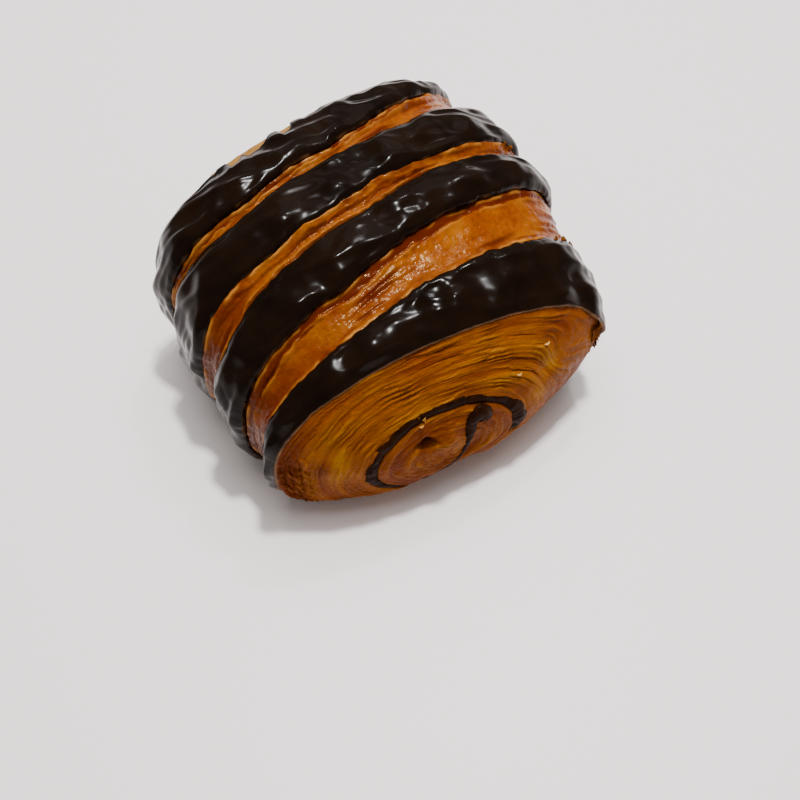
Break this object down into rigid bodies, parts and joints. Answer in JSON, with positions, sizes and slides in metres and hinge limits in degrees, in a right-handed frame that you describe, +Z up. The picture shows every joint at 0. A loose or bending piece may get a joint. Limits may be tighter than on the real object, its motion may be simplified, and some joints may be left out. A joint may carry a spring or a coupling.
{
  "type": "croissant",
  "caption": "Rolled chocolate-striped croissant, a bicolour pain au chocolat: a glazed laminated roll with cocoa dough bands, spiral ends and a flat baked base.",
  "frame": {"origin": "centre of the object's box, at the level of its flat base", "axes": "+Z up from the base; X across the roll, its longest way; Y along the roll, with the end under the widest cocoa band towards -Y"},
  "size_m": [0.1, 0.0936, 0.056],
  "materials": {
    "cocoa_dough": "near-black cocoa dough under a thick shiny glaze, lumpy and blistered",
    "plain_dough": "glossy amber baked dough with torn reddish layers",
    "spiral_end": "open laminated layers, ochre to red-brown, with a little sheen",
    "chocolate": "dark melted and set chocolate"
  },
  "bodies": {
    "root": {"croissant": "cocoa_dough"}
  },
  "joints": []
}
